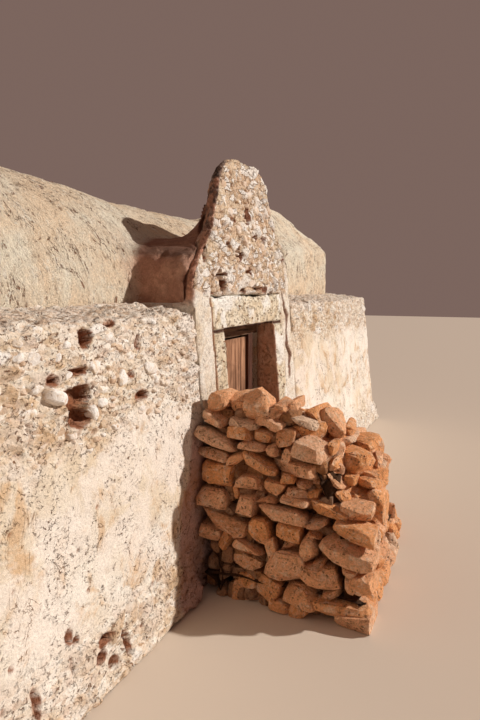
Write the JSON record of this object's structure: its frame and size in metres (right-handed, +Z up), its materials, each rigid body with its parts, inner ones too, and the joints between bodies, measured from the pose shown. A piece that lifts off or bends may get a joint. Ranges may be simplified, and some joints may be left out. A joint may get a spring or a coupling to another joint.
{
  "type": "adobe house",
  "caption": "Small vaulted adobe house: battered walls, barrel vault with a domed bay, bell gable over a plank door, dry-stone mass in front.",
  "frame": {"origin": "underside of the threshold stone, on the middle line of the doorway, where the front wall meets the ground", "axes": "+X along the front wall to the right, +Y into the building, +Z up"},
  "size_m": [7.68, 4.17, 2.58],
  "materials": {
    "wall_plaster": "lime and earth plaster over rubble masonry, pitted and stained",
    "vault_plaster": "smooth ochre earth plaster, patchy, with fine cracks",
    "ledge_mortar": "granular eroded mortar, darkened by lichen",
    "gable_rubble": "rubble set in reddish mortar, worn",
    "dressed_stone": "pitted cream limestone, whitewashed in places",
    "stacked_stone": "dry-laid tan limestone, rough broken faces",
    "door_timber": "weathered brown boards, grey along the grain",
    "frame_timber": "dark weathered timber",
    "earth": "trodden earth"
  },
  "bodies": {
    "house": {"back_wall": "wall_plaster", "barrel_vault_left": "vault_plaster", "barrel_vault_middle": "vault_plaster", "barrel_vault_right": "vault_plaster", "bell_gable": "gable_rubble", "domed_bay": "vault_plaster", "door_cheeks": "wall_plaster", "door_frame_head": "frame_timber", "door_frame_left": "frame_timber", "door_frame_right": "frame_timber", "door_jamb_left": "dressed_stone", "door_jamb_right": "dressed_stone", "door_lintel": "dressed_stone", "door_pier_left": "wall_plaster", "door_pier_right": "wall_plaster", "dry_stone_capstones": "stacked_stone", "dry_stone_course_1": "stacked_stone", "dry_stone_course_2": "stacked_stone", "dry_stone_course_3": "stacked_stone", "dry_stone_course_4": "stacked_stone", "dry_stone_course_5": "stacked_stone", "dry_stone_course_6": "stacked_stone", "earth_floor": "earth", "end_wall_left": "wall_plaster", "end_wall_right": "wall_plaster", "entrance_vault": "vault_plaster", "footing_back": "wall_plaster", "footing_front_left": "wall_plaster", "footing_front_right": "wall_plaster", "footings_end": "wall_plaster", "front_wall_left": "wall_plaster", "front_wall_right": "wall_plaster", "gable_saddle": "vault_plaster", "inner_lintel": "wall_plaster", "ledge_back": "ledge_mortar", "ledge_front_left": "ledge_mortar", "ledge_front_right": "ledge_mortar", "ledges_end": "ledge_mortar", "threshold": "dressed_stone", "vault_end_wall": "vault_plaster"},
    "door": {"door_boards": "door_timber", "door_hanging_stile": "door_timber", "door_closing_stile": "door_timber", "door_ledges": "door_timber"}
  },
  "joints": [
    {"name": "door_swing", "type": "hinge", "parent": "house", "child": "door", "pos_m": [-0.329, 0.295, 0.12], "axis": [0, 0, 1], "range_deg": [0, 90]}
  ]
}
